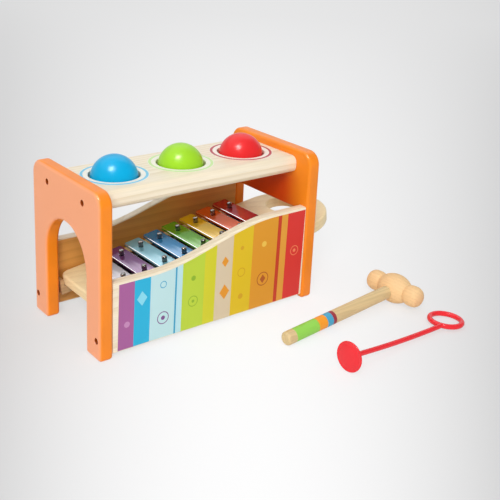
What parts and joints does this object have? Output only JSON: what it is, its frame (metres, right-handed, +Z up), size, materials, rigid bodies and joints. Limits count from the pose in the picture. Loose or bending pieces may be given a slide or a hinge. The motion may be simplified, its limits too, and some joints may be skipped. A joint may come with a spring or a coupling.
{
  "type": "pounding xylophone",
  "caption": "Wooden pounding bench with balls to knock through its top onto a sloping, slide-out metal xylophone, with a mallet and a ring-handled beater.",
  "frame": {"origin": "middle of the whole set's box, on the surface that it stands on", "axes": "+X along the bench towards the xylophone's high end, +Y from the printed front to the back, +Z up"},
  "size_m": [0.3476, 0.28, 0.1716],
  "materials": {
    "orange_wood": "satin lacquer",
    "pine": "clear lacquer",
    "beech_head": "satin",
    "beech_handle": "satin",
    "blue_ball": "gloss lacquer",
    "green_ball": "gloss lacquer",
    "red_ball": "gloss lacquer",
    "seat_rubber": "matte",
    "screw_steel": "dark",
    "pin_steel": "satin",
    "felt": "matte",
    "red_plastic": "gloss",
    "bar_silver": "metallic lacquer",
    "bar_purple": "metallic lacquer",
    "bar_pale_blue": "metallic lacquer",
    "bar_blue": "metallic lacquer",
    "bar_green": "metallic lacquer",
    "bar_yellow": "metallic lacquer",
    "bar_orange": "metallic lacquer",
    "bar_red": "metallic lacquer"
  },
  "bodies": {
    "bench": {"left_end_panel": "orange_wood", "right_end_panel": "orange_wood", "top_board": "pine", "front_panel": "pine", "back_panel": "pine", "front_runner": "pine", "back_runner": "pine", "left_board_screw_front": "screw_steel", "left_board_screw_back": "screw_steel", "left_skirt_screw_front": "screw_steel", "left_skirt_screw_back": "screw_steel", "right_board_screw_front": "screw_steel", "right_board_screw_back": "screw_steel", "right_skirt_screw_front": "screw_steel", "right_skirt_screw_back": "screw_steel", "left_dowel_front": "beech_handle", "left_dowel_back": "beech_handle", "right_dowel_front": "beech_handle", "right_dowel_back": "beech_handle", "blue_ball_seat": "seat_rubber", "green_ball_seat": "seat_rubber", "red_ball_seat": "seat_rubber"},
    "xylophone": {"xylophone_base": "pine", "front_rail": "pine", "back_rail": "pine", "front_felt_strip": "felt", "back_felt_strip": "felt", "tone_bar_1": "bar_silver", "tone_bar_2": "bar_purple", "tone_bar_3": "bar_pale_blue", "tone_bar_4": "bar_blue", "tone_bar_5": "bar_green", "tone_bar_6": "bar_yellow", "tone_bar_7": "bar_orange", "tone_bar_8": "bar_red", "bar_pin_1_front": "pin_steel", "bar_pin_1_back": "pin_steel", "bar_pin_2_front": "pin_steel", "bar_pin_2_back": "pin_steel", "bar_pin_3_front": "pin_steel", "bar_pin_3_back": "pin_steel", "bar_pin_4_front": "pin_steel", "bar_pin_4_back": "pin_steel", "bar_pin_5_front": "pin_steel", "bar_pin_5_back": "pin_steel", "bar_pin_6_front": "pin_steel", "bar_pin_6_back": "pin_steel", "bar_pin_7_front": "pin_steel", "bar_pin_7_back": "pin_steel", "bar_pin_8_front": "pin_steel", "bar_pin_8_back": "pin_steel"},
    "blue_ball": {"blue_ball": "blue_ball"},
    "green_ball": {"green_ball": "green_ball"},
    "red_ball": {"red_ball": "red_ball"},
    "mallet": {"mallet_head": "beech_head", "mallet_handle": "beech_handle"},
    "beater": {"beater": "red_plastic"}
  },
  "joints": [
    {"name": "xylophone_slide", "type": "slide", "parent": "bench", "child": "xylophone", "axis": [0.9903, 0, 0.1392], "range_m": [0, 0.25]},
    {"name": "blue_ball_drop", "type": "slide", "parent": "bench", "child": "blue_ball", "axis": [0, 0, 1], "range_m": [-0.0705, 0.06], "deforming": ["blue_ball_seat"]},
    {"name": "green_ball_drop", "type": "slide", "parent": "bench", "child": "green_ball", "axis": [0, 0, 1], "range_m": [-0.0575, 0.06], "deforming": ["green_ball_seat"]},
    {"name": "red_ball_drop", "type": "slide", "parent": "bench", "child": "red_ball", "axis": [0, 0, 1], "range_m": [-0.0445, 0.06], "deforming": ["red_ball_seat"]},
    {"name": "mallet_lift", "type": "slide", "parent": "bench", "child": "mallet", "axis": [0, 0, 1], "range_m": [0, 0.2]},
    {"name": "beater_lift", "type": "slide", "parent": "bench", "child": "beater", "axis": [0, 0, 1], "range_m": [0, 0.2]}
  ]
}
